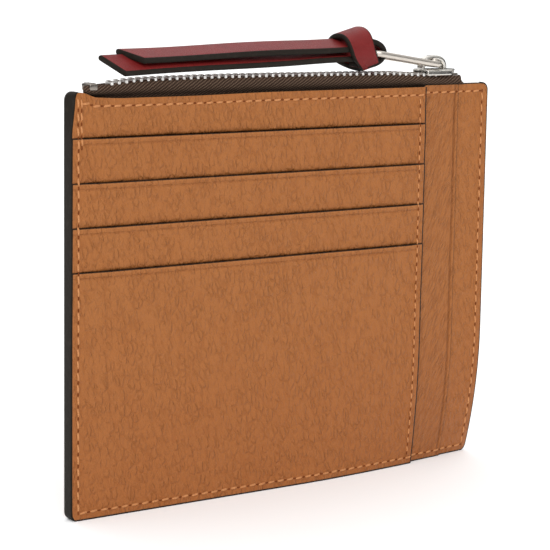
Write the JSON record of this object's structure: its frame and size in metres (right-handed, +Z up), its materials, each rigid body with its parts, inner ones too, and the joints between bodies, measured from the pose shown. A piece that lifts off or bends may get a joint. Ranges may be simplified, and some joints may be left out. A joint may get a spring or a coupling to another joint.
{
  "type": "zippered pouch",
  "caption": "Flat leather zip pouch with stepped card slots, a side slip pocket, and a knotted strap on the zipper's pull link.",
  "frame": {"origin": "middle of the pouch's footprint, on the surface that its bottom edge stands on", "axes": "+X along the zipper towards the closed slider, +Y out of the back panel, +Z up from the bottom edge to the zipper; the card slots face -Y"},
  "size_m": [0.12, 0.0122, 0.1094],
  "materials": {
    "tan_leather": "fine pebble grain, dark painted edges",
    "burgundy_leather": "smooth, dark painted edges",
    "lining_fabric": "plain weave",
    "zipper_tape": "twill",
    "seam_thread": "twisted thread",
    "polished_metal": "polished",
    "satin_metal": "satin"
  },
  "bodies": {
    "pouch": {"back_panel": "tan_leather", "front_base_panel": "tan_leather", "side_pocket_panel": "tan_leather", "slot_backing_panel": "tan_leather", "card_leaf_1": "tan_leather", "card_leaf_2": "tan_leather", "card_leaf_3": "tan_leather", "card_leaf_4": "tan_leather", "slot_pocket_bag_1": "lining_fabric", "slot_pocket_bag_2": "lining_fabric", "slot_pocket_bag_3": "lining_fabric", "front_lining": "lining_fabric", "back_lining": "lining_fabric", "zipper_tape_front": "zipper_tape", "zipper_tape_back": "zipper_tape", "zipper_teeth_front": "polished_metal", "zipper_teeth_back": "polished_metal", "bottom_stop": "polished_metal", "top_stop_front": "polished_metal", "top_stop_back": "polished_metal", "perimeter_thread_front": "seam_thread", "perimeter_thread_back": "seam_thread", "top_thread_front": "seam_thread", "top_thread_back": "seam_thread", "slot_thread": "seam_thread"},
    "slider": {"slider_body": "polished_metal"},
    "link": {"pull_link": "satin_metal"},
    "strap": {"pull_strap": "burgundy_leather"}
  },
  "joints": [
    {"name": "slider_travel", "type": "slide", "parent": "pouch", "child": "slider", "axis": [-1, 0, 0], "range_m": [0, 0.092], "deforming": ["zipper_teeth_front", "zipper_teeth_back", "zipper_tape_front", "zipper_tape_back"]},
    {"name": "link_swing", "type": "hinge", "parent": "slider", "child": "link", "pos_m": [0.0434, 0, 0.1003], "axis": [0, 1, 0], "range_deg": [0, 140]},
    {"name": "strap_swing", "type": "hinge", "parent": "link", "child": "strap", "pos_m": [0.02204, 0, 0.1035], "axis": [0, 1, 0], "range_deg": [0, 20]}
  ]
}
